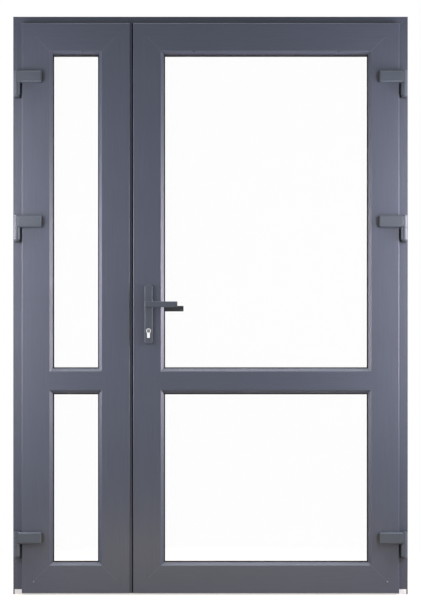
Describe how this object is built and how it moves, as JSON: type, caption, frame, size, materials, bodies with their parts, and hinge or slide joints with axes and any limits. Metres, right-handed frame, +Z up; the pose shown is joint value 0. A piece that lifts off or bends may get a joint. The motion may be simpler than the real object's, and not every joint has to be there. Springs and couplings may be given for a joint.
{
  "type": "glazed entrance door",
  "caption": "Leaf-and-a-half glazed entrance door in a grey profile frame, with mid rails, clear panes, surface hinges, lever handle, profile cylinder and low threshold.",
  "frame": {"origin": "on the floor under the frame, midway across its width and midway through the frame profile's depth", "axes": "+X across the doorway towards the wide leaf's hinges, +Y through the frame away from the hinge side, +Z up"},
  "size_m": [1.4, 0.182, 2.05],
  "materials": {
    "grey_foil": "anthracite embossed foil over the plastic profile",
    "clear_glass": "clear float glass",
    "spacer_metal": "mill finish",
    "black_seal": "matt black",
    "galvanised_steel": "zinc coated",
    "threshold_metal": "satin anodised",
    "pale_plastic": "smooth, pale grey",
    "hinge_grey": "fine satin powder coat",
    "black_plastic": "moulded",
    "bright_steel": "plated",
    "handle_grey": "fine satin powder coat",
    "nickel": "nickel plated"
  },
  "bodies": {
    "frame": {"frame_head": "grey_foil", "frame_left_jamb": "grey_foil", "frame_right_jamb": "grey_foil", "threshold": "threshold_metal", "threshold_end_blocks": "pale_plastic", "frame_seals": "black_seal", "frame_steel": "galvanised_steel", "bolt_keeps": "bright_steel", "left_top_hinge_barrel": "hinge_grey", "left_middle_hinge_barrel": "hinge_grey", "left_bottom_hinge_barrel": "hinge_grey", "right_top_hinge_barrel": "hinge_grey", "right_middle_hinge_barrel": "hinge_grey", "right_bottom_hinge_barrel": "hinge_grey", "hinge_packers": "black_plastic", "hinge_pins": "bright_steel"},
    "passive_leaf": {"passive_hinge_stile": "grey_foil", "passive_meeting_stile": "grey_foil", "passive_top_rail": "grey_foil", "passive_mid_rail": "grey_foil", "passive_bottom_rail": "grey_foil", "passive_upper_glass": "clear_glass", "passive_lower_glass": "clear_glass", "passive_spacers": "spacer_metal", "passive_beads": "grey_foil", "passive_seals": "black_seal", "passive_steel": "galvanised_steel", "passive_top_hinge_arm": "hinge_grey", "passive_middle_hinge_arm": "hinge_grey", "passive_bottom_hinge_arm": "hinge_grey", "astragal": "grey_foil", "strike_plate": "bright_steel"},
    "active_leaf": {"active_hinge_stile": "grey_foil", "active_meeting_stile": "grey_foil", "active_top_rail": "grey_foil", "active_mid_rail": "grey_foil", "active_bottom_rail": "grey_foil", "active_upper_glass": "clear_glass", "active_lower_glass": "clear_glass", "active_spacers": "spacer_metal", "active_beads": "grey_foil", "active_seals": "black_seal", "active_steel": "galvanised_steel", "active_top_hinge_arm": "hinge_grey", "active_middle_hinge_arm": "hinge_grey", "active_bottom_hinge_arm": "hinge_grey", "lock_case": "bright_steel", "lock_faceplate": "bright_steel", "cylinder_body": "nickel", "inner_back_plate": "handle_grey", "outer_back_plate": "handle_grey"},
    "handle": {"inner_lever": "handle_grey", "outer_lever": "handle_grey", "spindle": "bright_steel", "follower": "bright_steel"},
    "latch": {"latch": "bright_steel"},
    "cylinder_plug": {"cylinder_plug": "nickel"},
    "deadbolt": {"deadbolt": "bright_steel"},
    "top_edge_bolt": {"top_edge_bolt": "bright_steel"},
    "bottom_edge_bolt": {"bottom_edge_bolt": "bright_steel"}
  },
  "joints": [
    {"name": "active_leaf_swing", "type": "hinge", "parent": "frame", "child": "active_leaf", "pos_m": [0.685, -0.058, 0], "axis": [0, 0, 1], "range_deg": [0, 105]},
    {"name": "passive_leaf_swing", "type": "hinge", "parent": "frame", "child": "passive_leaf", "pos_m": [-0.685, -0.058, 0], "axis": [0, 0, -1], "range_deg": [0, 105]},
    {"name": "lever_turn", "type": "hinge", "parent": "active_leaf", "child": "handle", "pos_m": [-0.219, 0, 1.026], "axis": [0, 1, 0], "range_deg": [0, 40], "stiffness_Nm_per_rad": 3},
    {"name": "latch_slide", "type": "slide", "parent": "active_leaf", "child": "latch", "axis": [1, 0, 0], "range_m": [0, 0.011]},
    {"name": "cylinder_turn", "type": "hinge", "parent": "active_leaf", "child": "cylinder_plug", "pos_m": [-0.219, -0.025, 0.934], "axis": [0, 1, 0], "range_deg": [0, 360]},
    {"name": "deadbolt_slide", "type": "slide", "parent": "active_leaf", "child": "deadbolt", "axis": [-1, 0, 0], "range_m": [0, 0.02]},
    {"name": "top_edge_bolt_slide", "type": "slide", "parent": "passive_leaf", "child": "top_edge_bolt", "axis": [0, 0, 1], "range_m": [0, 0.018]},
    {"name": "bottom_edge_bolt_slide", "type": "slide", "parent": "passive_leaf", "child": "bottom_edge_bolt", "axis": [0, 0, -1], "range_m": [0, 0.018]}
  ],
  "couplings": [
    {"joint": "latch_slide", "follows": "lever_turn", "m_per_rad": 0.015756},
    {"joint": "deadbolt_slide", "follows": "cylinder_turn", "m_per_rad": 0.003183}
  ]
}
